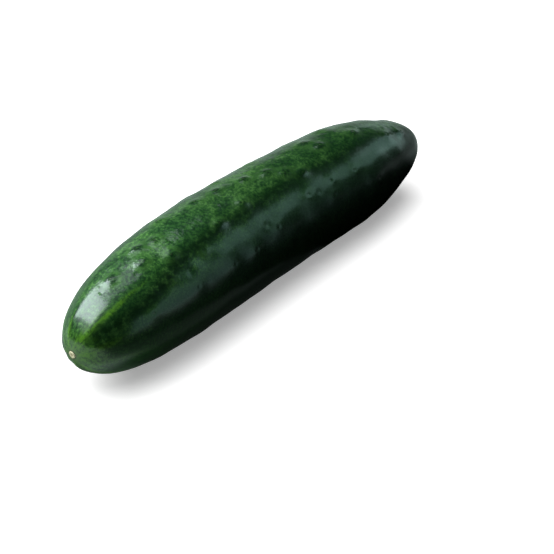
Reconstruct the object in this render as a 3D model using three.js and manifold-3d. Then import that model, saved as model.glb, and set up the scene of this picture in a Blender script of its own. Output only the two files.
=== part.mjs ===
// A whole slicing cucumber, lying on its side as picked.
//
// Units are millimetres and +Z is up. X runs along the fruit, from the blossom end at -X to the stem
// end at +X. Y crosses it, and the fruit bows towards +Y. The origin is under the middle of the fruit,
// on the surface that it rests on.
//
// The fruit is one grown solid. Its outline is turned about a straight axis, its ribs, lobes and warts
// are raised from the turned surface by a formula, the axis is then bent, and the underside is pressed
// flat where the fruit rests.

import * as THREE from 'three';
import { mergeVertices } from 'three/addons/utils/BufferGeometryUtils.js';
import Module from 'manifold-3d';

// Outline of the fruit along its axis. The blossom end is a long taper and the stem end is blunt.
const LENGTH = 241.9;
const MIDDLE_RADIUS = 27.0;
const TAPER = -0.169; // share of the middle radius lost from the blossom end to the stem end
const BELLY = 0.076; // share of it that the middle is thicker by
const BLOSSOM_END = { reach: 121.5, inner: 3.2, outer: 2.4 };
const STEM_END = { reach: 56.5, inner: 1.5, outer: 2.136 };

// The bend of the axis, sideways in an arc that is fuller near the blossom end, and down towards
// the stem end, which puts the level part of the underside below the centre of mass.
const BOW = 8.6;
const BOW_SKEW = -2.0;
const DROP = 3.6;
const PRESS = 0.8; // depth of the flat spot that the fruit rests on

// Ribs run from the blossom scar and fade out towards the middle of the fruit.
const RIB_ANGLES = [26, 62, 98, 138, 178, -140, -99, -60, -26]; // degrees from the top, +Y side positive
const RIB_HEIGHT = 0.32;
const RIB_WIDTH = 13; // degrees
const RIB_FADE = 75; // distance from the blossom end over which a rib fades
const RIB_START = 3;

// The fruit is faintly three-sided, and its surface rolls gently.
const LOBES = 3;
const LOBE_HEIGHT = 0.15;
const LOBE_TURN = 10; // degrees
const SWELLS = [
  { height: 0.08, length: 34, turns: 2, phase: 0.4 },
  { height: 0.06, length: 23, turns: -3, phase: 2.1 },
  { height: 0.05, length: 15, turns: 5, phase: 4.4 },
];

// Warts. The first ones are where the camera sees them, given as the distance from the blossom end and
// the angle from the top. The rest are drawn at random, at least a set distance apart.
const SEEN_WARTS = [
  [28, 4], [43, -9], [49, 8], [58, 2], [93, 12], [106, 9], [122, 3], [134, -5], [115, 28], [73, 22],
  [56, -23], [108, -21], [89, -26], [141, -16], [149, -25], [167, 9], [171, -6], [194, -8], [144, -48],
  [161, -47], [178, -50], [100, -67], [118, -60], [160, -62], [212, -28], [224, -32], [125, 52], [30, -60],
];
const WART_SEED = 20;
const WART_TRIES = 900;
const WART_SPACING = 14;
const WART_FIRST = 22; // nearest to the blossom end
const WART_LAST = 234;
const WART_HEIGHT = 0.5;
const WART_RADIUS = 3.3;
const WART_STRETCH = 1.35; // longer along the fruit than across it

// The two scars, both a little off the axis: a small disc where the flower fell, and the dried stub
// of the stem, sunk in a dimple.
const SCAR_OFFSET = { y: 3.4, z: -1.2 };
const SCAR_PULL = 9; // distance along the fruit over which the ribs swing in to the scar
const SCAR_RADIUS = 1.7;
const SCAR_HEIGHT = 0.35;
const SCAR_SINK = 1.0;
const STUB_OFFSET = { y: 2.5, z: -2.0 };
const STUB_RADIUS = 3.0;
const STUB_HEIGHT = 2.0;
const STUB_SINK = 2.5;
const DIMPLE_DEPTH = 2.4;
const DIMPLE_RADIUS = 5.5;

// Fineness of the mesh
const ROWS = 96;
const COLUMNS = 56;
const END_CROWDING = 0.05; // brings the rows closer together at both ends
const DISC_SIDES = 16;

const RAD = Math.PI / 180;

// Radius of the turned outline at distance s from the blossom end
function outlineRadius(s) {
  const t = s / LENGTH;
  const full = MIDDLE_RADIUS * (1 + TAPER * (t - 0.5) - BELLY * (2 * t - 1) ** 2);
  const blossom = Math.max(1 - s / BLOSSOM_END.reach, 0) ** BLOSSOM_END.inner;
  const stem = Math.max(1 - (LENGTH - s) / STEM_END.reach, 0) ** STEM_END.inner;
  const roundBlossom = Math.max(1 - blossom, 0) ** (1 / BLOSSOM_END.outer);
  const roundStem = Math.max(1 - stem, 0) ** (1 / STEM_END.outer);
  return full * roundBlossom * roundStem;
}

// Points (radius, distance) down the outline, evenly spaced along its curve but closer at the ends
function outlinePoints() {
  const fine = 6000;
  const samples = [];
  let run = 0;
  for (let i = 0; i <= fine; i += 1) {
    const s = (LENGTH * (1 - Math.cos((Math.PI * i) / fine))) / 2;
    const r = outlineRadius(s);
    if (i > 0) run += Math.hypot(s - samples[i - 1].s, r - samples[i - 1].r);
    samples.push({ s, r, run });
  }
  const points = [new THREE.Vector2(0, 0)];
  let k = 0;
  for (let row = 1; row < ROWS; row += 1) {
    const w = row / ROWS;
    const target = run * (w - END_CROWDING * Math.sin(2 * Math.PI * w));
    while (samples[k].run < target) k += 1;
    points.push(new THREE.Vector2(samples[k].r, samples[k].s));
  }
  points.push(new THREE.Vector2(0, LENGTH));
  return points;
}

// Outward direction (radial, along) of the turned surface at distance s
function outlineNormal(s) {
  const step = 0.02;
  const near = THREE.MathUtils.clamp(s, step, LENGTH - step);
  const slope = (outlineRadius(near + step) - outlineRadius(near - step)) / (2 * step);
  const size = Math.hypot(1, slope);
  return { radial: 1 / size, along: -slope / size };
}

// Repeatable random numbers from 0 to 1
function randomFrom(seed) {
  let state = seed;
  return () => {
    state = (state + 0x6d2b79f5) | 0;
    let mixed = Math.imul(state ^ (state >>> 15), 1 | state);
    mixed = (mixed + Math.imul(mixed ^ (mixed >>> 7), 61 | mixed)) ^ mixed;
    return ((mixed ^ (mixed >>> 14)) >>> 0) / 4294967296;
  };
}

// A place on the turned surface, before the bend: x along the axis, z up at angle zero
function turnedPlace(s, angle) {
  const r = outlineRadius(s);
  return new THREE.Vector3(s, r * Math.sin(angle), r * Math.cos(angle));
}

function placeWarts() {
  const warts = SEEN_WARTS.map(([s, degrees]) => ({ place: turnedPlace(s, degrees * RAD), size: 1 }));
  const random = randomFrom(WART_SEED);
  for (let i = 0; i < WART_TRIES; i += 1) {
    const s = WART_FIRST + (WART_LAST - WART_FIRST) * random();
    const angle = 2 * Math.PI * random();
    const size = 0.35 + 0.4 * random();
    const place = turnedPlace(s, angle);
    if (warts.every((wart) => wart.place.distanceTo(place) > WART_SPACING)) warts.push({ place, size });
  }
  return warts;
}

// Angle about the rib centre, which lies on the scar at the blossom end and on the axis further on
function ribAngle(place) {
  const pull = Math.exp(-place.x / SCAR_PULL);
  return Math.atan2(place.y - SCAR_OFFSET.y * pull, place.z - SCAR_OFFSET.z * pull) / RAD;
}

function ribRelief(place) {
  const angle = ribAngle(place);
  let ridge = 0;
  for (const rib of RIB_ANGLES) {
    const apart = THREE.MathUtils.euclideanModulo(angle - rib + 180, 360) - 180;
    ridge += Math.exp(-((apart / RIB_WIDTH) ** 2));
  }
  const start = THREE.MathUtils.smoothstep(place.x, 0, RIB_START);
  return RIB_HEIGHT * ridge * start * Math.exp(-((place.x / RIB_FADE) ** 2));
}

function swellRelief(place) {
  const angle = Math.atan2(place.y, place.z);
  const calm = THREE.MathUtils.smoothstep(place.x, 4, 40) * THREE.MathUtils.smoothstep(LENGTH - place.x, 2, 20);
  let height = LOBE_HEIGHT * Math.cos(LOBES * (angle - LOBE_TURN * RAD));
  for (const swell of SWELLS) {
    const wave = (2 * Math.PI * place.x) / swell.length + swell.turns * angle + swell.phase;
    height += swell.height * Math.sin(wave);
  }
  return height * calm;
}

function wartRelief(place, warts) {
  let height = 0;
  for (const wart of warts) {
    const along = (place.x - wart.place.x) / WART_STRETCH;
    const across = Math.hypot(place.y - wart.place.y, place.z - wart.place.z);
    const apart = Math.hypot(along, across) / WART_RADIUS;
    height += WART_HEIGHT * wart.size * Math.exp(-(apart ** 2));
  }
  return height;
}

function dimpleRelief(place) {
  const across = Math.hypot(place.y - STUB_OFFSET.y, place.z - STUB_OFFSET.z) / DIMPLE_RADIUS;
  return place.x > LENGTH / 2 ? -DIMPLE_DEPTH * Math.exp(-(across ** 2)) : 0;
}

// Height of the axis above the resting surface, before the drop and the press are applied
function restingHeight() {
  let height = 0;
  for (let s = 0; s <= LENGTH; s += 0.5) {
    height = Math.max(height, outlineRadius(s) + DROP * (s / LENGTH - 0.5));
  }
  return height - PRESS;
}

// Moves a point from the straight fruit to the bent one
function bend(point, height) {
  const t = point.x / LENGTH;
  const arch = 4 * t * (1 - t);
  const y = arch * (BOW + BOW_SKEW * (2 * t - 1));
  const slopeY = ((4 - 8 * t) * (BOW + BOW_SKEW * (2 * t - 1)) + arch * 2 * BOW_SKEW) / LENGTH;
  const ahead = new THREE.Vector3(1, slopeY, -DROP / LENGTH).normalize();
  const side = new THREE.Vector3(-ahead.y, ahead.x, 0).normalize();
  const up = new THREE.Vector3().crossVectors(ahead, side);
  const centre = new THREE.Vector3(point.x, y, height - DROP * (t - 0.5));
  return centre.addScaledVector(side, point.y).addScaledVector(up, point.z);
}

// Merges the seam and the ends of a turned geometry and hands it over as a solid
function toSolid(wasm, geometry) {
  const bare = geometry.clone();
  bare.deleteAttribute('normal');
  bare.deleteAttribute('uv');
  const merged = mergeVertices(bare, 1e-4);
  const index = merged.index.array;
  const corners = [];
  for (let i = 0; i < index.length; i += 3) {
    const [a, b, c] = [index[i], index[i + 1], index[i + 2]];
    if (a !== b && b !== c && c !== a) corners.push(a, b, c);
  }
  return new wasm.Manifold(new wasm.Mesh({
    numProp: 3,
    vertProperties: new Float32Array(merged.attributes.position.array),
    triVerts: new Uint32Array(corners),
  }));
}

function toGeometry(solid) {
  const mesh = solid.getMesh();
  const geometry = new THREE.BufferGeometry();
  geometry.setAttribute('position', new THREE.BufferAttribute(mesh.vertProperties, mesh.numProp));
  geometry.setIndex(new THREE.BufferAttribute(mesh.triVerts, 1));
  geometry.computeVertexNormals();
  return geometry;
}

// The fruit itself, from the turned outline to the bent and pressed surface
function fruitBody(height) {
  const warts = placeWarts();
  const turned = new THREE.LatheGeometry(outlinePoints(), COLUMNS);
  const position = turned.attributes.position;
  for (let i = 0; i < position.count; i += 1) {
    // The lathe turns about Y, so its Y is the distance along the fruit.
    const place = new THREE.Vector3(position.getY(i), position.getZ(i), position.getX(i));
    const across = Math.hypot(place.y, place.z);
    const normal = outlineNormal(place.x);
    const relief =
      ribRelief(place) + swellRelief(place) + wartRelief(place, warts) + dimpleRelief(place);
    if (across > 1e-6) {
      const grown = 1 + (relief * normal.radial) / across;
      place.y *= grown;
      place.z *= grown;
    }
    place.x += relief * normal.along;
    const bent = bend(place, height);
    position.setXYZ(i, bent.x, bent.y, Math.max(bent.z, 0));
  }
  return turned;
}

// A low disc with a rounded rim, sunk a little into the skin at a place on the straight fruit
function disc(radius, rise, sink, place, normal, height) {
  const profile = [
    new THREE.Vector2(0, -sink),
    new THREE.Vector2(radius * 0.9, -sink),
    new THREE.Vector2(radius, rise * 0.45),
    new THREE.Vector2(radius * 0.85, rise * 0.85),
    new THREE.Vector2(radius * 0.5, rise),
    new THREE.Vector2(0, rise * 0.8),
  ];
  const geometry = new THREE.LatheGeometry(profile, DISC_SIDES);
  geometry.applyQuaternion(new THREE.Quaternion().setFromUnitVectors(new THREE.Vector3(0, 1, 0), normal));
  const centre = bend(place, height);
  geometry.translate(centre.x, centre.y, centre.z);
  return geometry;
}

// The disc of the blossom scar, square to the skin at its own place near the blossom end
function blossomScar(height) {
  const across = Math.hypot(SCAR_OFFSET.y, SCAR_OFFSET.z);
  let along = 0;
  while (outlineRadius(along) < across) along += 0.01;
  const slope = outlineNormal(along);
  const place = new THREE.Vector3(along, SCAR_OFFSET.y, SCAR_OFFSET.z);
  const lean = slope.radial / across;
  const normal = new THREE.Vector3(slope.along, SCAR_OFFSET.y * lean, SCAR_OFFSET.z * lean);
  return disc(SCAR_RADIUS, SCAR_HEIGHT, SCAR_SINK, place, normal, height);
}

// The cut stub of the stem, rising from the bottom of its dimple but not past the shoulder round it
function stemStub(height) {
  const across = Math.hypot(STUB_OFFSET.y, STUB_OFFSET.z);
  let along = LENGTH;
  while (outlineRadius(along) < across) along -= 0.01;
  const place = new THREE.Vector3(along - DIMPLE_DEPTH, STUB_OFFSET.y, STUB_OFFSET.z);
  return disc(STUB_RADIUS, STUB_HEIGHT, STUB_SINK, place, new THREE.Vector3(1, 0, 0), height);
}

async function cucumberGeometry() {
  const wasm = await Module();
  wasm.setup();
  const height = restingHeight();
  const scar = toSolid(wasm, blossomScar(height));
  const stub = toSolid(wasm, stemStub(height));
  const whole = toSolid(wasm, fruitBody(height)).add(scar).add(stub);
  const geometry = toGeometry(whole);
  geometry.computeBoundingBox();
  const { min, max } = geometry.boundingBox;
  geometry.translate(-(min.x + max.x) / 2, -(min.y + max.y) / 2, 0);
  return geometry;
}

const skin = new THREE.MeshStandardMaterial({ color: 0x1c4a24, roughness: 0.35, metalness: 0.0 });
const cucumber = new THREE.Mesh(await cucumberGeometry(), skin);
cucumber.name = 'cucumber';

const part = new THREE.Group();
part.add(cucumber);

export default part;
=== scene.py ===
# %% [markdown]
# # A slicing cucumber
# This lesson dresses a plain solid model of a cucumber so that it looks like the fruit itself: dark,
# waxy, faintly ribbed skin, pale rays that fan out from the scar of the flower, scattered warts, and a
# dried stem stub. The solid model is the frame. It fixes the size and the place, and the skin made here
# follows it to a fraction of a millimetre, only finer.

# %% Load the frame
import math

import bpy
import numpy as np
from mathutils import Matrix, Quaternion, Vector, noise


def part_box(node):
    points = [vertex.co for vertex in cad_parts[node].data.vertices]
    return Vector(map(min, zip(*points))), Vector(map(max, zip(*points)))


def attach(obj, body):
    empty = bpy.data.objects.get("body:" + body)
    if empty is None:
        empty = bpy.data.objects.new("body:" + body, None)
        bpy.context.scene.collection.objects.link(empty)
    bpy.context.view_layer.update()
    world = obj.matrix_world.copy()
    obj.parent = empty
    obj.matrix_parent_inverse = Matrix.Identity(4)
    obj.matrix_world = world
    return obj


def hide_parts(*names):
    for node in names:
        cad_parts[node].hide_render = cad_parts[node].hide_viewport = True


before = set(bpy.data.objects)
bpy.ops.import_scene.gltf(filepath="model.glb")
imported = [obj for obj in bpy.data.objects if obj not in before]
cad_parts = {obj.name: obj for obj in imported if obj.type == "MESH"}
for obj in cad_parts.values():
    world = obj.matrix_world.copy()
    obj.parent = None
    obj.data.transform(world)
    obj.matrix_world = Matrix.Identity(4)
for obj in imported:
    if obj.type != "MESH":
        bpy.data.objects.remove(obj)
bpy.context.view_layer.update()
fruit_low, fruit_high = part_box("cucumber")
print("solid model, mm:", [round(1000 * size, 1) for size in fruit_high - fruit_low])

# %% [markdown]
# ## The outline of the fruit
# A cucumber is close to a solid of revolution: a long round body with a slow taper at the blossom end
# and a blunter stem end. One formula gives the radius at any distance from the blossom end. It is worked
# out here in millimetres, because a maker thinks of a fruit that way, and turned into metres at the end.
# The values are those of the solid model.

# %% Outline
MM = 0.001
LENGTH = 241.9
MIDDLE_RADIUS = 27.0
TAPER = -0.169
BELLY = 0.076
BLOSSOM_REACH, BLOSSOM_INNER, BLOSSOM_OUTER = 121.5, 3.2, 2.4
STEM_REACH, STEM_INNER, STEM_OUTER = 56.5, 1.5, 2.136


def outline_radius(s):
    """Radius of the fruit at distance s from the blossom end, in millimetres."""
    t = s / LENGTH
    full = MIDDLE_RADIUS * (1 + TAPER * (t - 0.5) - BELLY * (2 * t - 1) ** 2)
    blossom = np.clip(1 - s / BLOSSOM_REACH, 0, None) ** BLOSSOM_INNER
    stem = np.clip(1 - (LENGTH - s) / STEM_REACH, 0, None) ** STEM_INNER
    round_blossom = np.clip(1 - blossom, 0, None) ** (1 / BLOSSOM_OUTER)
    round_stem = np.clip(1 - stem, 0, None) ** (1 / STEM_OUTER)
    return full * round_blossom * round_stem


def outline_normal(s):
    """Outward direction (radial, along) of the turned surface at distance s."""
    step = 0.02
    near = np.clip(s, step, LENGTH - step)
    slope = (outline_radius(near + step) - outline_radius(near - step)) / (2 * step)
    size = np.hypot(1, slope)
    return 1 / size, -slope / size


def even_stations(count, crowding):
    """Distances down the outline, evenly spaced along its curve but closer together at the ends."""
    fine = LENGTH * (1 - np.cos(np.linspace(0, math.pi, 6001))) / 2
    run = np.concatenate([[0], np.cumsum(np.hypot(np.diff(fine), np.diff(outline_radius(fine))))])
    w = np.linspace(0, 1, count + 1)
    return np.interp(run[-1] * (w - crowding * np.sin(2 * math.pi * w)), run, fine)


thickest = max(outline_radius(np.linspace(0, LENGTH, 500)))
print("length", LENGTH, "mm, thickest", round(2 * thickest, 1), "mm")

# %% [markdown]
# ## The bend
# The fruit bows gently to one side and its axis drops a little towards the stem. The skin is shaped on
# a straight axis first, where every formula is simple, and then each point is carried over to the bent
# axis. The body sinks 0.8 mm into the surface it lies on, and what would go below is pressed flat, as soft
# skin is. An armature or a curve modifier could bend it too, but a formula can be repeated exactly.

# %% Bend
BOW, BOW_SKEW, DROP, PRESS = 8.6, -2.0, 3.6, 0.8
stations = np.arange(0, LENGTH, 0.5)
axis_height = np.max(outline_radius(stations) + DROP * (stations / LENGTH - 0.5)) - PRESS


def bend(points):
    """Carries points (n, 3) in millimetres from the straight fruit to the bent one."""
    t = points[:, 0] / LENGTH
    arch = 4 * t * (1 - t)
    y = arch * (BOW + BOW_SKEW * (2 * t - 1))
    slope_y = ((4 - 8 * t) * (BOW + BOW_SKEW * (2 * t - 1)) + arch * 2 * BOW_SKEW) / LENGTH
    ahead = np.stack([np.ones_like(t), slope_y, np.full_like(t, -DROP / LENGTH)], 1)
    ahead /= np.linalg.norm(ahead, axis=1)[:, None]
    side = np.stack([-ahead[:, 1], ahead[:, 0], np.zeros_like(t)], 1)
    side /= np.linalg.norm(side, axis=1)[:, None]
    up = np.cross(ahead, side)
    centre = np.stack([points[:, 0], y, axis_height - DROP * (t - 0.5)], 1)
    return centre + points[:, 1:2] * side + points[:, 2:3] * up


print("axis height", round(axis_height, 2), "mm")

# %% [markdown]
# ## Ribs, lobes and swells
# Low ribs start at the blossom scar and die out towards the middle. A cucumber grows from three joined
# parts, so its section is faintly three-sided, and the whole surface rolls a little. All of this is
# raised from the turned surface by formulas, the same as in the solid model. The scar sits a little off
# the axis, so the ribs swing in to it.

# %% Broad relief
RIB_ANGLES = [26, 62, 98, 138, 178, -140, -99, -60, -26]
RIB_HEIGHT, RIB_WIDTH, RIB_FADE, RIB_START = 0.32, 13, 75, 3
LOBES, LOBE_HEIGHT, LOBE_TURN = 3, 0.15, 10
SWELLS = [(0.08, 34, 2, 0.4), (0.06, 23, -3, 2.1), (0.05, 15, 5, 4.4)]  # height, length, turns, phase
BLOSSOM_CALM, STEM_CALM = (4, 40), (2, 20)  # where the lobes and swells grow in, from either end
SCAR_Y, SCAR_Z, SCAR_PULL = 3.4, -1.2, 9


def smooth(x, low, high):
    """Rises smoothly from 0 at low to 1 at high."""
    t = np.clip((x - low) / (high - low), 0, 1)
    return t * t * (3 - 2 * t)


def wrap(degrees):
    """The same angle, brought to between -180 and 180."""
    return (degrees + 180) % 360 - 180


def rib_angle(places):
    """Angle in degrees about the rib centre: the scar at the blossom end, the axis further on."""
    pull = np.exp(-places[:, 0] / SCAR_PULL)
    return np.degrees(np.arctan2(places[:, 1] - SCAR_Y * pull, places[:, 2] - SCAR_Z * pull))


def near_rib(angle, width):
    """How close an angle is to a rib, from 0 to 1."""
    total = np.zeros_like(angle)
    for rib in RIB_ANGLES:
        total += np.exp(-((wrap(angle - rib) / width) ** 2))
    return total


def broad_relief(places):
    """Height in millimetres of the ribs, lobes and swells. The last two die out at both ends."""
    s = places[:, 0]
    fading = smooth(s, 0, RIB_START) * np.exp(-((s / RIB_FADE) ** 2))
    ribs = near_rib(rib_angle(places), RIB_WIDTH) * fading
    angle = np.arctan2(places[:, 1], places[:, 2])
    calm = smooth(s, *BLOSSOM_CALM) * smooth(LENGTH - s, *STEM_CALM)
    rolls = LOBE_HEIGHT * np.cos(LOBES * (angle - math.radians(LOBE_TURN)))
    for height, length, turns, phase in SWELLS:
        rolls += height * np.sin(2 * math.pi * s / length + turns * angle + phase)
    return RIB_HEIGHT * ribs + rolls * calm


print(len(RIB_ANGLES), "ribs,", LOBES, "lobes,", len(SWELLS), "swells")

# %% [markdown]
# ## Warts
# Young cucumbers carry a small spine on each wart, which is rubbed off when they are washed. The wart
# stays as a soft mound with a pinprick in its top. The warts that show are put where the real fruit has
# them, and the rest are scattered by a seeded draw that keeps them apart, the same draw as in the solid.

# %% Wart places
SEEN_WARTS = [  # distance from the blossom end, and degrees from the top
    (28, 4), (43, -9), (49, 8), (58, 2), (93, 12), (106, 9), (122, 3), (134, -5), (115, 28),
    (73, 22), (56, -23), (108, -21), (89, -26), (141, -16), (149, -25), (167, 9), (171, -6),
    (194, -8), (144, -48), (161, -47), (178, -50), (100, -67), (118, -60), (160, -62),
    (212, -28), (224, -32), (125, 52), (30, -60),
]
WART_SEED, WART_TRIES, WART_SPACING, WART_FIRST, WART_LAST = 20, 900, 14, 22, 234
SMALLEST_WART, WART_VARIETY = 0.35, 0.4  # scattered warts are smaller than those that show
WART_HEIGHT, WART_RADIUS, WART_STRETCH = 0.5, 3.3, 1.35
WORD = 0xFFFFFFFF


def random_from(seed):
    """Repeatable random numbers from 0 to 1."""
    state = seed
    while True:
        state = (state + 0x6D2B79F5) & WORD
        mixed = ((state ^ (state >> 15)) * (1 | state)) & WORD
        mixed = ((mixed + (((mixed ^ (mixed >> 7)) * (61 | mixed)) & WORD)) & WORD) ^ mixed
        yield (mixed ^ (mixed >> 14)) / 4294967296


def turned_place(s, angle):
    """The point of the turned surface at distance s and an angle in radians from the top."""
    r = float(outline_radius(np.array(float(s))))
    return np.array([s, r * math.sin(angle), r * math.cos(angle)])


def place_warts():
    """Places and sizes of the warts that show, and then of those that the draw adds between them."""
    places = [turned_place(s, math.radians(degrees)) for s, degrees in SEEN_WARTS]
    sizes = [1.0] * len(places)
    draw = random_from(WART_SEED)
    for _ in range(WART_TRIES):
        s = WART_FIRST + (WART_LAST - WART_FIRST) * next(draw)
        angle = 2 * math.pi * next(draw)
        size = SMALLEST_WART + WART_VARIETY * next(draw)
        place = turned_place(s, angle)
        if min(np.linalg.norm(np.array(places) - place, axis=1)) > WART_SPACING:
            places.append(place)
            sizes.append(size)
    return np.array(places), np.array(sizes)


wart_places, wart_sizes = place_warts()
print(len(wart_sizes), "warts")

# %% [markdown]
# ## Fine relief
# Close up the skin is pebbled: strongest along the top, gentle on the flanks, and gentlest on the blossom
# end, where it is stretched tight. The warts on the flanks were rubbed down in handling, and only those
# on top keep their firm middle. A few lone pits, one low swelling, some shallow dents and two cross folds
# near the stem keep the skin from looking machine-made. All of this could be faked with a bump map. It is
# real geometry here, because the broken edge of a reflection is what tells the eye that this is skin.

# %% Warts, pits and dents
PIT_RADIUS, PIT_DEPTH = 0.7, 0.3
CORE_RADIUS, CORE_HEIGHT = 2.1, 0.52  # the firmer middle of each wart
RUBBED = 0.7  # radians from the top at which about a third of a wart's core is left
KEPT = 0.5  # share of a wart's mound that even the most rubbed one keeps
LONE_PITS = [(20.5, 5), (36, -14), (62, -9), (97, -9), (146, -8)]
SWELLING, SWELLING_RADIUS, SWELLING_HEIGHT = (46, -3), 5.5, 0.45  # its near slope catches the light
DENTS = [(145, -48), (151, -51), (160, -47), (112, -52), (58, -48)]
DENT_RADIUS, DENT_DEPTH = 1.9, 0.22


def left_of_wart(place):
    """All of a wart is left on top of the fruit, and little on the flanks, where it was rubbed."""
    return math.exp(-((math.atan2(place[1], place[2]) / RUBBED) ** 2))


def near_place(places, s, degrees, radius):
    """How close each point is to one place on the skin, from 0 to 1."""
    apart = np.linalg.norm(places - turned_place(s, math.radians(degrees)), axis=1)
    return np.exp(-((apart / radius) ** 2))


def wart_relief(places):
    """Height of the mounds in millimetres, and how deep in a pit each point is, from 0 to 1."""
    mounds = np.zeros(len(places))
    pits = np.zeros(len(places))
    for place, size in zip(wart_places, wart_sizes):
        along = (places[:, 0] - place[0]) / WART_STRETCH
        across = np.hypot(places[:, 1] - place[1], places[:, 2] - place[2])
        apart = np.hypot(along, across)
        left = left_of_wart(place)
        mound = WART_HEIGHT * size * (KEPT + (1 - KEPT) * left)
        mounds += mound * np.exp(-((apart / WART_RADIUS) ** 2))
        mounds += CORE_HEIGHT * size * left * np.exp(-((apart / CORE_RADIUS) ** 2))
        pits += size * np.exp(-((apart / PIT_RADIUS) ** 2))
    for s, degrees in LONE_PITS:
        pits += near_place(places, s, degrees, PIT_RADIUS)
    return mounds, pits


def dent_relief(places):
    """Height in millimetres of the one low swelling, less the shallow dents."""
    total = SWELLING_HEIGHT * near_place(places, *SWELLING, SWELLING_RADIUS)
    for s, degrees in DENTS:
        total -= DENT_DEPTH * near_place(places, s, degrees, DENT_RADIUS)
    return total


print("a wart on top stands", round(WART_HEIGHT + CORE_HEIGHT, 2), "mm high")

# %% Pebbles
PEBBLES = [(9.0, 0.09), (3.8, 0.11), (2.1, 0.05)]  # size and height of each grade
TIP_SHARE, FLANK_SHARE, TOP_SHARE = 0.2, 0.12, 0.95  # shares of that height
FULLER, FULLER_FROM, FULLER_TO = 1.0, 14, 34  # what the share gains past the tip, and where
EASED, EASED_FROM, EASED_TO = 0.25, 80, 170  # what it loses again further on
SIDE_SHIFT, SHIFT_FROM, SHIFT_TO = 10, 60, 90  # degrees that the pebbled side swings round by, and where
NEAR_REACH, FAR_REACH, WIDER_FROM, WIDER_TO = 34, 70, 50, 80  # its half widths, and where it widens


def turn_from(places, angle):
    """Degrees round the axis from a line at an angle to the top."""
    return wrap(np.degrees(np.arctan2(places[:, 1], places[:, 2])) - angle)


def roughness_of(places):
    """How pebbled the skin is, from nearly 0 at the tip and on the flanks to about 1 along the top."""
    s = places[:, 0]
    apart = turn_from(places, SIDE_SHIFT * smooth(s, SHIFT_FROM, SHIFT_TO))
    far_reach = NEAR_REACH + (FAR_REACH - NEAR_REACH) * smooth(s, WIDER_FROM, WIDER_TO)
    top = np.exp(-((apart / np.where(apart > 0, far_reach, NEAR_REACH)) ** 2))
    along = TIP_SHARE + FULLER * smooth(s, FULLER_FROM, FULLER_TO)
    along -= EASED * smooth(s, EASED_FROM, EASED_TO)
    return along * (FLANK_SHARE + TOP_SHARE * top)


def pebble_relief(places):
    total = np.zeros(len(places))
    for size, height in PEBBLES:
        total += height * np.array([noise.noise(Vector(p / size)) for p in places])
    return total * roughness_of(places)


print("pebbles of", [size for size, height in PEBBLES], "mm")

# %% Folds and stem dimple
FOLDS, FOLD_WIDTH, FOLD_HEIGHT = [215, 222.5], 1.5, 0.12  # where the fruit nears the stem
FOLD_TURN, FOLD_REACH = -12, 26  # degrees from the top, and half width in degrees
DIMPLE_DEPTH, DIMPLE_RADIUS = 2.4, 5.5
STUB_Y, STUB_Z = 2.5, -2.0


def fold_relief(places):
    total = sum(np.exp(-(((places[:, 0] - s) / FOLD_WIDTH) ** 2)) for s in FOLDS)
    return FOLD_HEIGHT * total * np.exp(-((turn_from(places, FOLD_TURN) / FOLD_REACH) ** 2))


def dimple_relief(places):
    across = np.hypot(places[:, 1] - STUB_Y, places[:, 2] - STUB_Z) / DIMPLE_RADIUS
    return np.where(places[:, 0] > LENGTH / 2, -DIMPLE_DEPTH * np.exp(-(across**2)), 0)


print(len(FOLDS), "folds, and a dimple", DIMPLE_DEPTH, "mm deep")

# %% [markdown]
# ## The skin
# The skin is one mesh: rings of points around the axis, joined by quads, with a single point closing
# each end. Each point is pushed out along the surface normal by the relief, then bent and pressed.
# It also keeps its unbent place and a few measures as attributes, which the finish reads later.

# %% Skin mesh
ROWS, COLUMNS, END_CROWDING = 380, 240, 0.05
along_stations = even_stations(ROWS, END_CROWDING)
around = -math.pi + 2 * math.pi * np.arange(COLUMNS) / COLUMNS
ring_s, ring_a = np.meshgrid(along_stations[1:-1], around, indexing="ij")
ring_r = outline_radius(ring_s)
rings = np.stack([ring_s, ring_r * np.sin(ring_a), ring_r * np.cos(ring_a)], -1).reshape(-1, 3)
turned = np.concatenate([rings, [[0, 0, 0], [LENGTH, 0, 0]]])

mounds, pits = wart_relief(turned)
relief = broad_relief(turned) + dent_relief(turned) + mounds - PIT_DEPTH * pits
relief += pebble_relief(turned) + fold_relief(turned) + dimple_relief(turned)
radial, along = outline_normal(turned[:, 0])
across = np.hypot(turned[:, 1], turned[:, 2])
grown = 1 + np.where(across > 1e-6, relief * radial / np.maximum(across, 1e-6), 0)
raised = np.stack([turned[:, 0] + relief * along, turned[:, 1] * grown, turned[:, 2] * grown], 1)
bent = bend(raised)
bent[:, 2] = np.maximum(bent[:, 2], 0)
print("relief from", round(relief.min(), 2), "to", round(relief.max(), 2), "mm")

# %% Into the frame
BOX_MIDDLE = (120.34, 8.02, 0)  # of the solid model's box, in the bent fruit's millimetres


def to_frame(points):
    """Millimetres on the bent fruit to metres in the frame."""
    return (points - np.array(BOX_MIDDLE)) * MM


quads = []
for row in range(ROWS - 2):
    for column in range(COLUMNS):
        after = (column + 1) % COLUMNS
        low, high = row * COLUMNS, (row + 1) * COLUMNS
        quads.append((low + column, low + after, high + after, high + column))
tip, tail = len(turned) - 2, len(turned) - 1
last = (ROWS - 2) * COLUMNS
for column in range(COLUMNS):
    after = (column + 1) % COLUMNS
    quads.append((tip, after, column))
    quads.append((tail, last + column, last + after))

skin_mesh = bpy.data.meshes.new("skin")
skin_mesh.from_pydata(to_frame(bent).tolist(), [], quads)
skin_mesh.validate()
skin_mesh.shade_smooth()
skin = bpy.data.objects.new("skin", skin_mesh)
bpy.context.scene.collection.objects.link(skin)
print("skin:", len(skin_mesh.vertices), "points,", len(skin_mesh.polygons), "faces")

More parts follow.
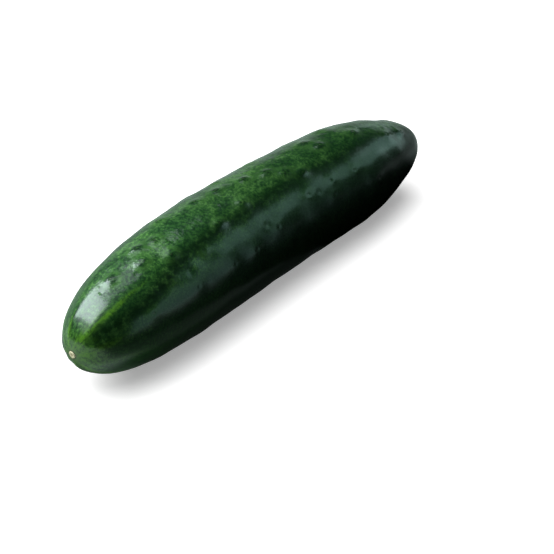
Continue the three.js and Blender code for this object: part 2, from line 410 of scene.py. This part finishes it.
# %% [markdown]
# ## Measures for the finish
# A finish that follows the growth of the fruit needs to know where it is on it. So every point keeps its
# place on the straight fruit, its bearing round the flower scar, how strongly a pale ray shows there, how
# deep it lies in the painted shade of a groove between two ribs, and how high on a wart. It also keeps how
# pebbled the skin is, how even its green, and how young or old, because the fruit darkens towards the
# stem.
# Rays and grooves keep their width in millimetres and wander a little, as nothing grown runs quite
# straight.

# %% Rays and grooves
RAYS = [  # degrees from the top, strength, half width in mm, and where it has faded out
    (26, 0.8, 1.0, 13), (62, 0.6, 1.2, 26), (98, 0.6, 1.3, 45), (138, 0.5, 1.4, 45),
    (178, 0.6, 1.4, 50), (-140, 0.5, 1.4, 45), (-99, 0.3, 1.3, 30), (-67, 0.4, 1.0, 26),
    (-26, 0.85, 1.0, 50), (-17, 0.6, 0.7, 24),
]
RAY_TURN = 0.12  # degrees that a ray swings by in each millimetre
RAY_MIDDLE, RAY_STRAIGHT = 20, 60  # where it has its own angle, and where it stops swinging
RAY_WIDE, RAY_SLIMMER = 1.15, 0.45  # share of its half width at the scar, and what goes off it
SLIMMER_FROM, SLIMMER_TO = 8, 35
RAY_FADING = 0.25  # share of its length after which it fades
# Grooves darkened with painted shade. The darkest is the one just under the lit top.
GROOVE_SHADES = [  # degrees from the top, and strength
    (-45, 1.0), (-80, 0.4), (-120, 0.3), (-161, 0.3), (158, 0.3), (118, 0.3), (80, 0.25), (44, 0.25),
]
GROOVE_SHADE_WIDTH = 3.9  # half width in mm
GROOVE_DRIFT, DRIFT_FROM, DRIFT_TO = 14, 10, 90  # degrees that a groove drifts by, and where
BLUSH, BLUSH_REACH = 0.4, 3.2


def wander(s, seed, size, reach):
    """A slow random drift along the fruit, from -reach to reach."""
    grid = np.linspace(0, LENGTH, 160)
    drift = [noise.noise(Vector((value / size, seed, 0.5))) for value in grid]
    return reach * np.interp(s, grid, drift)


def beside(places, line):
    """Distance in millimetres across the skin from a line that runs down the fruit at an angle."""
    radius = np.maximum(np.hypot(places[:, 1], places[:, 2]), 4)
    return np.radians(wrap(rib_angle(places) - line)) * radius


def ray_strength(places):
    """How strongly a pale ray shows, from 0 to 1. All of them blush together round the scar."""
    s = places[:, 0]
    total = BLUSH * np.exp(-((s / BLUSH_REACH) ** 2))
    for angle, strength, width, end in RAYS:
        line = angle - RAY_TURN * (np.minimum(s, RAY_STRAIGHT) - RAY_MIDDLE) + wander(s, angle, 15, 2.5)
        fading = 1 - smooth(s, RAY_FADING * end, end)
        uneven = 1 + wander(s, angle + 0.5, 7, 0.5)
        taper = width * (RAY_WIDE - RAY_SLIMMER * smooth(s, SLIMMER_FROM, SLIMMER_TO))
        total += strength * fading * uneven * np.exp(-((beside(places, line) / taper) ** 2))
    return np.clip(total, 0, 1)


def groove_shade_depth(places):
    """How deep a point lies in the painted shade of a groove between two ribs, from 0 to 1."""
    s = places[:, 0]
    total = np.zeros(len(places))
    for angle, strength in GROOVE_SHADES:
        line = angle + GROOVE_DRIFT * smooth(s, DRIFT_FROM, DRIFT_TO) + wander(s, angle, 25, 4)
        depth = strength * smooth(s, 0.5, 5)
        total += depth * np.exp(-((beside(places, line) / GROOVE_SHADE_WIDTH) ** 2))
    return np.clip(total, 0, 1)


# %% Attributes
AGEING = [(0.75, 45, 110), (0.25, 130, 220)]  # share, and the stretch in which it is gained
UPPER_REACH = 60  # degrees
EVEN_ON_TOP, EVEN_BELOW = (12, 35), (3, 9)  # where the green evens out
YOUNG_FROM, YOUNG_TO, YOUNG_BELOW = 5, 18, 0.3  # where the young skin ends, and its share underneath
PEBBLED_FROM, PEBBLED_TO = 0.12, 0.45  # an even green gives way to mottle where the skin is pebbled
STREAK_DRAW = 60  # millimetres down the fruit for one unit of the streaks' noise


def keep(mesh, name, kind, values):
    """Stores a value or a vector for each point, under the name that the finish asks for."""
    attribute = mesh.attributes.new(name, kind, "POINT")
    field = "vector" if kind == "FLOAT_VECTOR" else "value"
    attribute.data.foreach_set(field, values.astype(np.float32).ravel())


down = turned[:, 0]
bearing = np.radians(rib_angle(turned))
spoke = np.stack([np.cos(bearing), np.sin(bearing), down / STREAK_DRAW], 1)
ray, groove_shade, roughness = ray_strength(turned), groove_shade_depth(turned), roughness_of(turned)
older = sum(share * smooth(down, start, end) for share, start, end in AGEING)
upper = np.exp(-((np.degrees(bearing) / UPPER_REACH) ** 2))
settled = np.maximum(smooth(down, *EVEN_ON_TOP), (1 - upper) * smooth(down, *EVEN_BELOW))
young = (1 - smooth(down, YOUNG_FROM, YOUNG_TO)) * (YOUNG_BELOW + (1 - YOUNG_BELOW) * upper)
even = settled * (1 - smooth(roughness, PEBBLED_FROM, PEBBLED_TO))
keep(skin_mesh, "fruit", "FLOAT_VECTOR", turned * MM)
keep(skin_mesh, "spoke", "FLOAT_VECTOR", spoke)
keep(skin_mesh, "ray", "FLOAT", ray)
keep(skin_mesh, "groove_shade", "FLOAT", groove_shade)
keep(skin_mesh, "older", "FLOAT", older)
keep(skin_mesh, "rough", "FLOAT", roughness)
keep(skin_mesh, "calm", "FLOAT", even)
keep(skin_mesh, "young", "FLOAT", young)
keep(skin_mesh, "mound", "FLOAT", np.clip(mounds / (WART_HEIGHT + CORE_HEIGHT), 0, 1))
keep(skin_mesh, "pit", "FLOAT", np.clip(pits, 0, 1))
print("ray strength up to", round(float(ray.max()), 2), "groove_shade", round(float(groove_shade.max()), 2))

# %% [markdown]
# ## Unwrapping
# A UV map lays the skin out flat: once round across the sheet, and from end to end up it. The faces that
# close the circle would run backwards over the whole sheet, so their far corners take the next number up.

# %% UV map
run = np.linspace(0, 1, ROWS + 1)
uv_layer = skin_mesh.uv_layers.new(name="OFBake")
uv = np.zeros((len(skin_mesh.loops), 2), np.float32)
for polygon in skin_mesh.polygons:
    corners = [skin_mesh.loops[i].vertex_index for i in polygon.loop_indices]
    columns = [c % COLUMNS for c in corners if c < tip]
    wraps = max(columns) - min(columns) > COLUMNS / 2
    for i, c in zip(polygon.loop_indices, corners):
        if c >= tip:
            uv[i] = ((min(columns) + 0.5) / COLUMNS, 0 if c == tip else 1)
            continue
        column = c % COLUMNS
        if wraps and column == 0:
            column = COLUMNS
        uv[i] = (column / COLUMNS, run[c // COLUMNS + 1])
uv_layer.data.foreach_set("uv", uv.ravel())
print("uv map:", uv_layer.name, "up to", uv.max(0).round(2).tolist())

# %% [markdown]
# ## Nodes in a few words
# A finish is a small network of nodes. These helpers add one node and connect it in a single line, so
# that the recipe for the skin reads from top to bottom.

# %% Node helpers
COLOR_A, COLOR_B, MIXED_COLOR = 6, 7, 2  # the Mix node's sockets for colours, which share their names


class Recipe:
    """A material built up step by step on one Principled shader."""

    def __init__(self, name):
        self.material = bpy.data.materials.new(name)
        self.material.use_nodes = True
        self.tree = self.material.node_tree
        self.shader = self.tree.nodes["Principled BSDF"]

    def node(self, kind, links=None, **settings):
        made = self.tree.nodes.new(kind)
        for key, value in settings.items():
            setattr(made, key, value)
        for socket, value in (links or {}).items():
            self.feed(made.inputs[socket], value)
        return made

    def feed(self, socket, value):
        if hasattr(value, "is_output"):
            self.tree.links.new(value, socket)
        else:
            socket.default_value = value

    def measure(self, name, vector=False):
        """One of the values kept with the points of the mesh."""
        made = self.node("ShaderNodeAttribute", attribute_name=name)
        return made.outputs["Vector" if vector else "Fac"]

    def grain(self, place, size, detail=2.0, roughness=0.5, stretch=(1, 1, 1), twist=0.0):
        """Noise with features of a given size in metres."""
        mapped = self.node("ShaderNodeMapping", {"Vector": place, "Scale": [k / size for k in stretch]})
        settings = {"Vector": mapped.outputs[0], "Scale": 1.0, "Detail": detail}
        settings |= {"Roughness": roughness, "Distortion": twist}
        return self.node("ShaderNodeTexNoise", settings).outputs["Fac"]

    def ramp(self, value, low, high, out_low=0.0, out_high=1.0):
        """Goes smoothly from out_low to out_high while the value goes from low to high."""
        settings = {"Value": value, "From Min": low, "From Max": high}
        settings |= {"To Min": out_low, "To Max": out_high}
        made = self.node("ShaderNodeMapRange", settings, interpolation_type="SMOOTHSTEP")
        return made.outputs["Result"]

    def vector_math(self, operation, links):
        return self.node("ShaderNodeVectorMath", links, operation=operation).outputs

    def distance(self, place, point):
        return self.vector_math("DISTANCE", {0: place, 1: point})["Value"]

    def towards(self, place, direction):
        """How far a place lies in a direction."""
        return self.vector_math("DOT_PRODUCT", {0: place, 1: direction})["Value"]

    def darken(self, color, factor):
        return self.vector_math("SCALE", {0: color, "Scale": factor})["Vector"]

    def math(self, operation, a, b=0.0):
        return self.node("ShaderNodeMath", {0: a, 1: b}, operation=operation).outputs[0]

    def product(self, first, *others):
        for other in others:
            first = self.math("MULTIPLY", first, other)
        return first

    def mix(self, share, a, b):
        made = self.node("ShaderNodeMix", data_type="RGBA")
        self.feed(made.inputs["Factor"], share)
        self.feed(made.inputs[COLOR_A], a)
        self.feed(made.inputs[COLOR_B], b)
        return made.outputs[MIXED_COLOR]

    def set(self, **values):
        for name, value in values.items():
            self.feed(self.shader.inputs[name.replace("_", " ")], value)


# %% [markdown]
# ## Where the two scars are
# The flower sat a little off the tip, and its scar marks the place. The stem is off centre as well. Both
# places are found here on the turned outline, because the skin's finish darkens round them and the two
# small pieces that follow are built there.

# %% Scar and stub places
def station_at(radius, from_stem=False):
    """Distance along the fruit where the outline first has this radius, from one end or the other."""
    s = np.arange(0, 20, 0.01)
    if from_stem:
        s = LENGTH - s
    return s[np.argmax(outline_radius(s) >= radius)]


scar_radius = math.hypot(SCAR_Y, SCAR_Z)
scar_s = station_at(scar_radius)
scar_place = np.array([scar_s, SCAR_Y, SCAR_Z])
lean, ahead = outline_normal(scar_s)
scar_normal = np.array([ahead, SCAR_Y * lean / scar_radius, SCAR_Z * lean / scar_radius])
stub_s = station_at(math.hypot(STUB_Y, STUB_Z), from_stem=True) - DIMPLE_DEPTH
stub_place = np.array([stub_s, STUB_Y, STUB_Z])
print("scar at", scar_place.round(2), "stub at", stub_place.round(2))

# %% [markdown]
# ## Skin finish
# Cucumber skin is a thin film of wax over deep green cells. The green is never even: it clouds over
# centimetres, mottles over a few millimetres and speckles below that, and the rays at the blossom end
# are themselves made of fine specks, drawn out in streaks that fan from the scar. A wart has a pale
# collar round a darker top, and that dark is painted shade, as is the dark along the grooves between
# the ribs. The flanks are more even, and the green dulls and darkens towards the stem. A painted
# picture could show all this, but it would blur close up, and noise doesn't. The wax gives the sheen,
# so a smooth coat lies over a duller base, and the same fine bump breaks up both.

# %% Skin colours
# The darkest green colours the young streaks. It is also the painted shade in the grooves and on the wart
# tops.
STREAK_AND_SHADE_GREEN = (0.003, 0.018, 0.003, 1)
DEEP_GREEN = (0.007, 0.040, 0.009, 1)
LEAF_GREEN = (0.028, 0.098, 0.019, 1)
PALE_GREEN = (0.086, 0.212, 0.044, 1)
RAY_GREEN = (0.105, 0.260, 0.016, 1)
EVEN_GREEN = (0.020, 0.075, 0.018, 1)
CORK_BROWN = (0.075, 0.045, 0.018, 1)
SCAR_GREEN = (0.085, 0.160, 0.035, 1)
DRY_SPECK = (0.16, 0.15, 0.08, 1)
print("greens from", STREAK_AND_SHADE_GREEN[:3], "to", RAY_GREEN[:3])

# %% Clouds, mottle and speckle
CLOUDS, MOTTLE, SPECKLE = 0.30, 0.27, 0.43  # shares of the tone
CLOUD_SIZE, MOTTLE_SIZE, SPECKLE_SIZE = 0.012, 0.0040, 0.0013  # metres
STREAK_SIZE = 0.09  # about as many radians across

wax = Recipe("waxy_skin")
place = wax.measure("fruit", vector=True)
clouds = wax.grain(place, CLOUD_SIZE, detail=2, stretch=(0.45, 1, 1), twist=0.3)
mottle = wax.grain(place, MOTTLE_SIZE, detail=3, roughness=0.6, stretch=(0.8, 1, 1))
speckle = wax.grain(place, SPECKLE_SIZE, detail=2, roughness=0.65)
streaks = wax.grain(wax.measure("spoke", vector=True), STREAK_SIZE, detail=3, roughness=0.6)
tone = wax.product(wax.ramp(clouds, 0.30, 0.70), CLOUDS)
tone = wax.math("ADD", tone, wax.product(wax.ramp(mottle, 0.32, 0.68), MOTTLE))
tone = wax.math("ADD", tone, wax.product(wax.ramp(speckle, 0.35, 0.65), SPECKLE))
green = wax.mix(wax.ramp(tone, 0.22, 0.54), DEEP_GREEN, LEAF_GREEN)
green = wax.mix(wax.ramp(tone, 0.55, 0.86), green, PALE_GREEN)
print("base green:", len(wax.tree.nodes), "nodes")

# %% Wart collars, and painted shade on the wart tops
mound = wax.measure("mound")
collar = wax.product(wax.ramp(mound, 0.02, 0.15), wax.ramp(mound, 0.25, 0.5, 0.35, 0.0))
green = wax.mix(collar, green, PALE_GREEN)
# Painted shade: the top of each wart is darkened, broken up by the speckle.
wart_top_shade = wax.product(wax.ramp(mound, 0.45, 0.85, 0.0, 0.8), wax.ramp(speckle, 0.36, 0.60, 1.0, 0.3))
green = wax.mix(wart_top_shade, green, STREAK_AND_SHADE_GREEN)
print("with warts:", len(wax.tree.nodes), "nodes")

# %% Even flanks and older skin
EVENED, DULLED = 0.75, 0.28  # how far the flanks are evened out, and how far age dulls the green
AGED_LIGHT = 0.71  # share of its light that the oldest green keeps

green = wax.mix(wax.product(wax.measure("calm"), EVENED), green, EVEN_GREEN)
older = wax.measure("older")
duller = wax.math("ADD", wax.product(older, DULLED), wax.ramp(older, 0.72, 1.0, 0.0, 0.2))
green = wax.mix(duller, green, DEEP_GREEN)
green = wax.darken(green, wax.ramp(older, 0.0, 1.0, 1.0, AGED_LIGHT))
print("with age:", len(wax.tree.nodes), "nodes")

# %% Streaks, grooves and rays
streaky = wax.product(wax.measure("young"), wax.ramp(streaks, 0.40, 0.56, 0.6, 0.0))
green = wax.mix(streaky, green, STREAK_AND_SHADE_GREEN)
# Painted shade: the grooves between the ribs are darkened towards a near-black green.
shaded = wax.product(wax.measure("groove_shade"), wax.ramp(mottle, 0.62, 0.45, 0.65, 1.0))
green = wax.mix(shaded, green, STREAK_AND_SHADE_GREEN)
specks = wax.product(wax.ramp(speckle, 0.30, 0.58, 0.35, 1.0), wax.ramp(streaks, 0.32, 0.60, 0.45, 1.0))
green = wax.mix(wax.product(wax.measure("ray"), specks), green, RAY_GREEN)
print("with rays:", len(wax.tree.nodes), "nodes")

# %% Skin marks and sheen
PEBBLE_GRAIN, PEBBLE_BUMP = 0.0020, 0.0004  # metres

from_scar = wax.distance(place, Vector(scar_place * MM))
from_stub = wax.distance(place, Vector(stub_place * MM))
green = wax.mix(wax.ramp(from_scar, 0.0020, 0.0050, 0.7, 0.0), green, SCAR_GREEN)
green = wax.mix(wax.ramp(from_scar, 0.0017, 0.0024, 0.85, 0.0), green, CORK_BROWN)
green = wax.mix(wax.ramp(from_stub, 0.0035, 0.0052, 0.8, 0.0), green, CORK_BROWN)
green = wax.mix(wax.ramp(wax.measure("pit"), 0.6, 1.0, 0.0, 0.5), green, DRY_SPECK)
wax.set(Base_Color=green, Roughness=wax.ramp(mottle, 0.3, 0.7, 0.38, 0.50))
wax.set(IOR=1.45, Specular_IOR_Level=0.12, Coat_Weight=0.9, Coat_Roughness=0.2, Coat_IOR=1.45)
pebbles = wax.product(wax.grain(place, PEBBLE_GRAIN, detail=2, roughness=0.6), wax.measure("rough"))
bump = wax.node("ShaderNodeBump", {"Height": pebbles, "Strength": 0.45, "Distance": PEBBLE_BUMP})
wax.set(Normal=bump.outputs[0], Coat_Normal=bump.outputs[0])
skin_mesh.materials.append(wax.material)


def dress(piece):
    """Ties a piece to the solid model, which it stands in for."""
    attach(piece, "root")
    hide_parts("cucumber")


dress(skin)
print("skin shader:", len(wax.tree.nodes), "nodes")

# %% [markdown]
# ## Small turned pieces
# The flower scar and the stem stub are both small round things with an uneven edge. Each is built from
# rings about an axis: a profile gives the radius and height of each ring, and a second function makes
# the ring wander. They are shaped on the straight fruit and bent with it, so that they stay seated.


# %% Rings
def ring_piece(name, profile, sides, wander, place, normal):
    """A piece of rings (radius, height) in millimetres, from its hidden foot to its closed middle."""
    up = np.array([0.0, 0.0, 1.0])
    first = np.cross(up, normal)
    first /= np.linalg.norm(first)
    second = np.cross(normal, first)
    points = []
    for radius, height in profile:
        for i in range(sides):
            angle = 2 * math.pi * i / sides
            r, h = wander(radius, height, angle)
            outward = math.cos(angle) * first + math.sin(angle) * second
            points.append(place + r * outward + h * normal)
    points.append(place + profile[-1][1] * normal)
    faces = []
    for row in range(len(profile) - 1):
        for i in range(sides):
            j = (i + 1) % sides
            low, high = row * sides, (row + 1) * sides
            faces.append((low + i, low + j, high + j, high + i))
    last = (len(profile) - 1) * sides
    faces += [(last + i, last + (i + 1) % sides, len(points) - 1) for i in range(sides)]
    mesh = bpy.data.meshes.new(name)
    mesh.from_pydata(to_frame(bend(np.array(points))).tolist(), [], faces)
    mesh.shade_smooth()
    piece = bpy.data.objects.new(name, mesh)
    bpy.context.scene.collection.objects.link(piece)
    print(name, len(points), "points,", len(faces), "faces")
    return piece


# %% [markdown]
# ## Blossom scar
# When the flower drops it leaves a corky button, cream at the rim and brown in the middle, where the
# style broke off. It is less than 4 mm across, but it is the one pale thing on a dark fruit, so the eye
# goes to it first.

# %% Blossom scar
SCAR_PROFILE = [  # radius and height of each ring
    (1.75, -0.9), (1.74, -0.2), (1.70, 0.08), (1.58, 0.24), (1.36, 0.31), (1.08, 0.27),
    (0.80, 0.19), (0.58, 0.15), (0.42, 0.20), (0.26, 0.14), (0.12, 0.02),
]
SCAR_SIDES = 40
CREAM = (0.95, 0.79, 0.52, 1)
TAN = (0.74, 0.56, 0.34, 1)
HEART_BROWN = (0.46, 0.30, 0.15, 1)
CRUMB_SIZE, CRUMB_SHIFT = 0.00045, 0.0006  # metres


def scar_wander(radius, height, angle):
    """A ragged edge and a crumbly top."""
    edge = 1 + 0.05 * math.sin(3 * angle + 1) + 0.03 * math.sin(7 * angle)
    edge += 0.02 * math.sin(13 * angle + 2)
    crumbs = radius * 2.2
    grain = noise.noise(Vector((crumbs * math.cos(angle), crumbs * math.sin(angle), 4.0)))
    return radius * edge, height + (0.07 * grain if height > 0 else 0)


scar = ring_piece("blossom_scar", SCAR_PROFILE, SCAR_SIDES, scar_wander, scar_place, scar_normal)
cork = Recipe("scar_cork")
where = cork.node("ShaderNodeNewGeometry").outputs["Position"]
middle = Vector(to_frame(bend(scar_place[None, :]))[0])
crumb = cork.grain(where, CRUMB_SIZE, detail=3, roughness=0.6)
spread = cork.math("ADD", cork.distance(where, middle), cork.product(crumb, CRUMB_SHIFT))
shade = cork.mix(cork.ramp(spread, 0.0005, 0.0007), HEART_BROWN, TAN)
shade = cork.mix(cork.ramp(spread, 0.0007, 0.0012), shade, CREAM)
shade = cork.mix(cork.ramp(spread, 0.0020, 0.0023), shade, CORK_BROWN)
cork.set(Base_Color=shade, Roughness=0.75, Specular_IOR_Level=0.35)
crust = cork.node("ShaderNodeBump", {"Height": crumb, "Strength": 0.5, "Distance": 0.0002})
cork.set(Normal=crust.outputs[0])
scar.data.materials.append(cork.material)
dress(scar)

# %% [markdown]
# ## Stem stub
# The fruit is cut from the vine with a short piece of its five-cornered stem, which dries to a
# grey-green stub in a dimple. Its cut top shows a ring of fibres round a sunken pith. It faces away from
# the camera, but the part is seen from every side.

# %% Stem stub
STUB_PROFILE = [  # radius and height of each ring
    (3.5, -2.4), (3.25, -1.2), (3.0, -0.4), (2.86, 0.4), (2.80, 1.2), (2.74, 1.66), (2.58, 1.88),
    (2.30, 1.92), (1.90, 1.82), (1.50, 1.70), (1.05, 1.62), (0.60, 1.40), (0.25, 1.26),
]
STUB_SIDES = 60
FIBRE_RING, FIBRE_RING_WIDTH, FIBRE_HEIGHT = 1.75, 0.45, 0.10
STEM_GREEN = (0.10, 0.15, 0.055, 1)
STEM_GREY = (0.27, 0.26, 0.16, 1)
PITH = (0.50, 0.44, 0.28, 1)
FIBRE_SIZE = 0.0009  # metres


def stub_wander(radius, height, angle):
    """Five corners, and on the cut top a ring of fibres."""
    corners = 1 + 0.07 * math.cos(5 * angle + 0.4) * min(radius / 3, 1)
    grain = noise.noise(Vector((3 * math.cos(angle), 3 * math.sin(angle), height * 0.6)))
    if height > 1:
        in_ring = math.exp(-(((radius - FIBRE_RING) / FIBRE_RING_WIDTH) ** 2))
        height += FIBRE_HEIGHT * math.sin(15 * angle) * in_ring + 0.10 * grain
    return radius * (corners + 0.03 * grain), height


stub_normal = np.array([1.0, 0.0, 0.0])
stub = ring_piece("stem_stub", STUB_PROFILE, STUB_SIDES, stub_wander, stub_place, stub_normal)
dry_stem = Recipe("dry_stem")
where = dry_stem.node("ShaderNodeNewGeometry").outputs["Position"]
cut_middle = Vector(to_frame(bend(stub_place[None, :] + [STUB_PROFILE[-1][1], 0, 0]))[0])
fibre = dry_stem.grain(where, FIBRE_SIZE, detail=3, roughness=0.6, stretch=(0.2, 1, 1))
shade = dry_stem.mix(dry_stem.ramp(fibre, 0.38, 0.62), STEM_GREEN, STEM_GREY)
cut_face = dry_stem.ramp(dry_stem.distance(where, cut_middle), 0.0021, 0.0028, 0.85, 0.0)
shade = dry_stem.mix(cut_face, shade, PITH)
shade = dry_stem.mix(dry_stem.ramp(fibre, 0.60, 0.75, 0.0, 0.6), shade, CORK_BROWN)
dry_stem.set(Base_Color=shade, Roughness=0.8, Specular_IOR_Level=0.3)
husk = dry_stem.node("ShaderNodeBump", {"Height": fibre, "Strength": 0.6, "Distance": 0.0003})
dry_stem.set(Normal=husk.outputs[0])
stub.data.materials.append(dry_stem.material)
dress(stub)

# %% [markdown]
# ## Camera
# The camera stands in front of the blossom end, looking down at 34 degrees with a long lens, so that
# the fruit runs away from it to the upper right with little perspective. Its place was found from the
# outline of the fruit, in the fruit's own millimetres, before it sinks into the surface it lies on.

# %% Camera
CAMERA_PLACE = (-510.1, -521.5, 563.6)
CAMERA_AIM = (132.2, -2.1, 0.0)
LENS = 137.1
SIGHT = 20  # metres

camera_place = Vector(to_frame(np.array(CAMERA_PLACE) - [0, 0, PRESS]))
camera_aim = Vector(to_frame(np.array(CAMERA_AIM) - [0, 0, PRESS]))
camera_data = bpy.data.cameras.new("camera")
camera_data.lens = LENS
camera_data.clip_end = SIGHT
camera = bpy.data.objects.new("camera", camera_data)
camera.location = camera_place
camera.rotation_euler = (camera_aim - camera_place).to_track_quat("-Z", "Y").to_euler()
bpy.context.scene.collection.objects.link(camera)
bpy.context.scene.camera = camera
away = (camera_aim - camera_place) * Vector((1, 1, 0))
away.normalize()
right = Vector((away.y, -away.x, 0))
print("camera", [round(v, 3) for v in camera_place])
print("looks at", [round(v, 3) for v in camera_aim])

# %% [markdown]
# ## Studio
# A glossy fruit shows its lights as pictures, so each light is placed for the picture it makes. A soft
# box behind to the left, with two dimmer ones beside and above it, lights the top, and its mirror image
# is the pale window on the blossom end. Five dim cards at the right are seen only as reflections and
# light nothing: together they draw the long grey band down the flank. A low glow behind gives the far
# edge its rim. Light linking keeps all of these off the floor, which has two wide lamps of its own
# overhead, so that its shadow stays soft. The backdrop above the floor is plain pale grey and lights
# nothing.

# %% Backdrop
BACKDROP = (0.35, 0.35, 0.35, 1)

scene = bpy.context.scene
scene.view_settings.view_transform = "Standard"
world = bpy.data.worlds.new("world")
world.use_nodes = True
world.node_tree.nodes["Background"].inputs["Color"].default_value = BACKDROP
world.cycles_visibility.diffuse = world.cycles_visibility.glossy = False
scene.world = world
print("backdrop", BACKDROP[:3])

# %% Soft boxes
FRUIT_MIDDLE = Vector((0, 0, 0.03))


def soft_box(lit, name, turn, rise, distance, size, radiance, tint, tilt=0):
    """An area light seen from the fruit at a turn (0 behind it, 90 to the camera's right) and a rise."""
    turn, rise = math.radians(turn), math.radians(rise)
    level = right * math.sin(turn) + away * math.cos(turn)
    direction = level * math.cos(rise) + Vector((0, 0, math.sin(rise)))
    data = bpy.data.lights.new(name, "AREA")
    data.shape = "RECTANGLE"
    data.size, data.size_y = size
    data.color = tint
    data.energy = radiance * math.pi * size[0] * size[1]
    light = bpy.data.objects.new(name, data)
    light.location = FRUIT_MIDDLE + direction * distance
    facing = (-direction).to_track_quat("-Z", "Y") @ Quaternion((0, 0, 1), math.radians(tilt))
    light.rotation_euler = facing.to_euler()
    light.visible_camera = False
    light.visible_diffuse = not name.endswith("card")
    scene.collection.objects.link(light)
    reached = bpy.data.collections.new(name + "_lights")
    for thing in lit:
        reached.objects.link(thing)
    light.light_linking.receiver_collection = reached
    print(name, "at", [round(v, 2) for v in light.location])


# %% Lights of the fruit
WINDOW_TINT = (0.84, 0.99, 1.0)
BAND_TINT = (0.56, 1.0, 0.90)
FAR_TINT = (0.70, 1.0, 0.96)
RIM_TINT = (0.85, 1.0, 0.97)
FRUIT_LIGHTS = [  # name, turn, rise, distance, size, radiance, tint, tilt
    ("key", -68.5, 50, 0.9, (0.46, 0.84), 11.6, WINDOW_TINT, -30),
    ("key_side", -105, 50, 0.9, (0.46, 0.54), 1.8, WINDOW_TINT),
    ("key_top", -14, 64, 0.92, (0.44, 0.40), 2.2, WINDOW_TINT),
    ("side_card", 65, 25, 0.83, (0.58, 0.265), 1.22, BAND_TINT, -26),
    ("shoulder_card", 58, 31, 0.83, (0.20, 0.11), 0.7, FAR_TINT),
    ("far_card", 48, 8, 0.83, (0.32, 0.22), 1.1, FAR_TINT),
    ("near_card", 110, 12, 0.50, (0.34, 0.32), 0.75, BAND_TINT, -12),
    ("end_card", 21, 9.5, 0.85, (0.30, 0.15), 0.65, FAR_TINT),
    ("back_glow", 0, 7, 1.2, (1.2, 0.30), 0.34, RIM_TINT),
]
for light in FRUIT_LIGHTS:
    soft_box([skin, scar, stub], *light)

# %% [markdown]
# ## Floor
# The floor is plain white paper, bright enough to read as white. What the fruit mirrors is a second sheet
# just under it, which only the fruit can see. That one glows behind the fruit, to its left, before its
# tip and far to its right, and is dark close to the shaded flank, where the fruit's shadow on the floor
# is painted into its glow, because the flank would look washed out otherwise.

# %% Floor
SHEET_HALF, SHEET_GAP = 6, 0.0005
PAPER_WHITE, FLOOR_GLOW = (0.85, 0.85, 0.85, 1), 0.34


def flat_sheet(name, z):
    """A large level sheet with a paper finish, still to be coloured."""
    mesh = bpy.data.meshes.new(name)
    corners = [(-1, -1), (1, -1), (1, 1), (-1, 1)]
    mesh.from_pydata([(SHEET_HALF * x, SHEET_HALF * y, z) for x, y in corners], [], [(0, 1, 2, 3)])
    sheet = bpy.data.objects.new(name, mesh)
    scene.collection.objects.link(sheet)
    paper = Recipe(name)
    paper.set(Base_Color=PAPER_WHITE, Roughness=0.9, Specular_IOR_Level=0.0)
    mesh.materials.append(paper.material)
    return sheet, paper


floor, paper = flat_sheet("floor", 0)
print("floor", 2 * SHEET_HALF, "m wide")
paper.set(Emission_Color=(1, 1, 1, 1), Emission_Strength=FLOOR_GLOW)
floor.visible_diffuse = floor.visible_glossy = floor.visible_shadow = False
soft_box([floor], "floor_lamp", -85, 68, 1.6, (2.8, 2.8), 3.2, (1, 1, 1))
soft_box([floor], "floor_fill", -150, 50, 1.5, (1.4, 1.4), 1.5, (1, 1, 1))

# %% Mirrored sheet
GLOW_LEFT, GLOW_BEHIND = 0.28, 0.47
SHEET_TINT = (0.80, 1, 0.95, 1)
FLANKWARD = (0, -1, 0)  # square to the fruit, on the side of its shaded flank
sheet = flat_sheet("mirrored_sheet", -SHEET_GAP)[1]
where = sheet.node("ShaderNodeNewGeometry").outputs["Position"]


def share(direction, start, end, before, after):
    """Goes from one share to another between two distances, in metres, towards a direction."""
    return sheet.ramp(sheet.towards(where, direction), start, end, before, after)


# Painted shadow: the fruit's shadow on the floor is cut out of the sheet's glow, deepest at the contact.
painted_contact_shadow = sheet.product(share(right, -0.052, -0.036, 0.84, 0.97), share(FLANKWARD, 0.032, 0.044, 1, 0.84))
shade = sheet.math("MAXIMUM", painted_contact_shadow, share(right, 0.008, 0.045, 0, 1))
painted_floor_shadow = sheet.product(share(FLANKWARD, -0.02, 0, 0, 1), share(away, 0.09, 0.14, 1, 0), shade)
glow = sheet.product(share(right, -0.11, -0.03, GLOW_LEFT, GLOW_BEHIND), share(right, 0.06, 0.22, 1, 0.4))
glow = sheet.product(glow, sheet.math("SUBTRACT", 1, painted_floor_shadow))
at_tip = sheet.product(share(away, -0.108, -0.090, 0.7, 0), share(right, -0.045, 0, 1, 0))
at_left = sheet.product(share(away, -0.03, 0.07, 0.4, 0), share(right, -0.13, -0.10, 1, 0))
at_right = sheet.product(share(right, 0.12, 0.30, 0, 0.42), share(away, -0.07, -0.04, 1, 0))
at_right = sheet.product(at_right, share(away, -0.42, -0.25, 0, 1))
for extra in (at_tip, at_left, at_right):
    glow = sheet.math("ADD", glow, extra)
sheet.set(Base_Color=(0, 0, 0, 1), Emission_Color=SHEET_TINT, Emission_Strength=glow)
print("mirrored sheet glows from", GLOW_LEFT, "to", GLOW_BEHIND)
